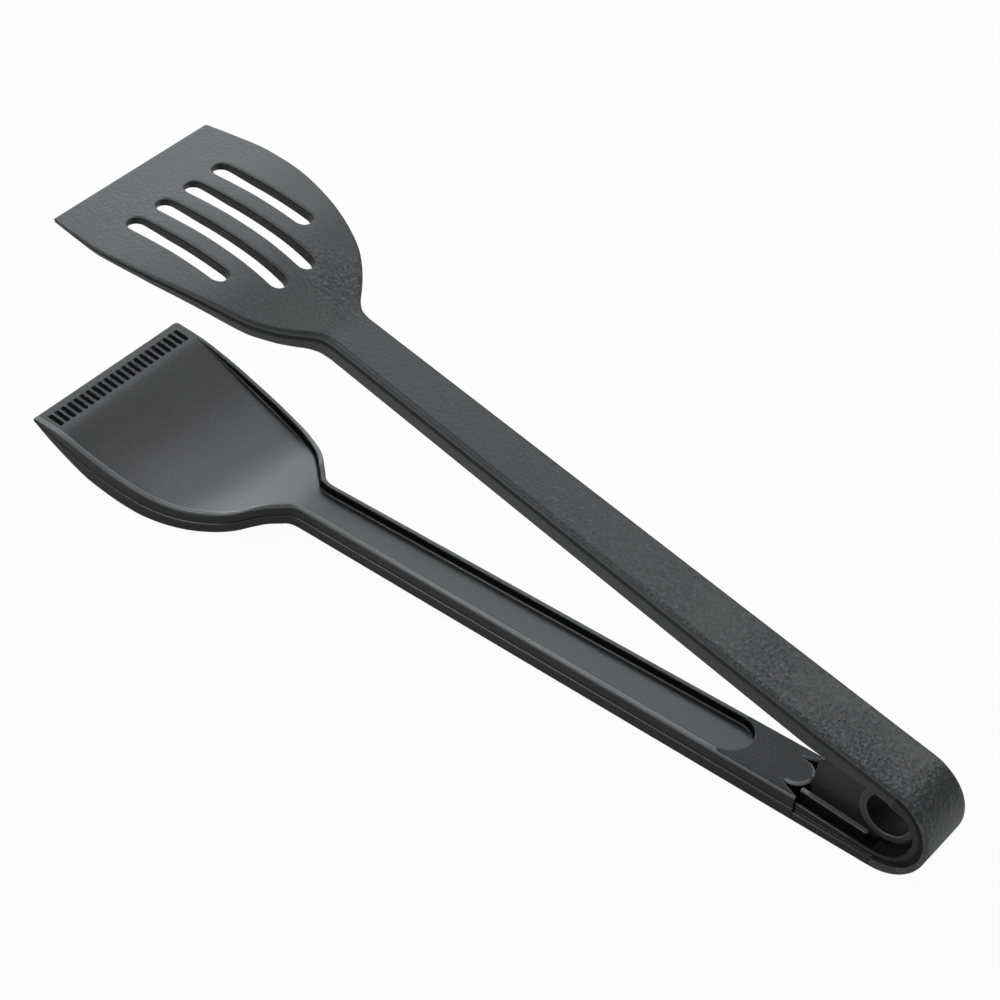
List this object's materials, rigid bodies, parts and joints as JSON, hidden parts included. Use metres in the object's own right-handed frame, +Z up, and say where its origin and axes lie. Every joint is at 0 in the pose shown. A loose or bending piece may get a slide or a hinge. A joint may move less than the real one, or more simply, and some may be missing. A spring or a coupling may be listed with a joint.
{
  "type": "kitchen tongs",
  "caption": "One-piece sprung kitchen tongs in black nylon: a slotted turner above a scoop, joined by a U-bend with a hanging eye.",
  "frame": {"origin": "middle of the bounding box's bottom, on the surface that the tongs lie on", "axes": "+X along the arms from the bend to the jaws, +Y across them, +Z up"},
  "size_m": [0.301, 0.07, 0.0968],
  "materials": {
    "nylon_turner": "spark-eroded grain outside, satin inside",
    "nylon_bend": "spark-eroded grain",
    "nylon_tail": "satin",
    "nylon_scoop": "satin"
  },
  "bodies": {
    "tail_body": {"tail": "nylon_tail", "lower_arm": "nylon_scoop", "bend_spring": "nylon_bend"},
    "jaw_body": {"upper_arm": "nylon_turner"}
  },
  "joints": [
    {"name": "bend_flex", "type": "hinge", "parent": "tail_body", "child": "jaw_body", "pos_m": [-0.13497, 0, 0.0155], "axis": [0, 1, 0], "range_deg": [0, 15.3], "stiffness_Nm_per_rad": 4, "springref_deg": -1.15}
  ]
}
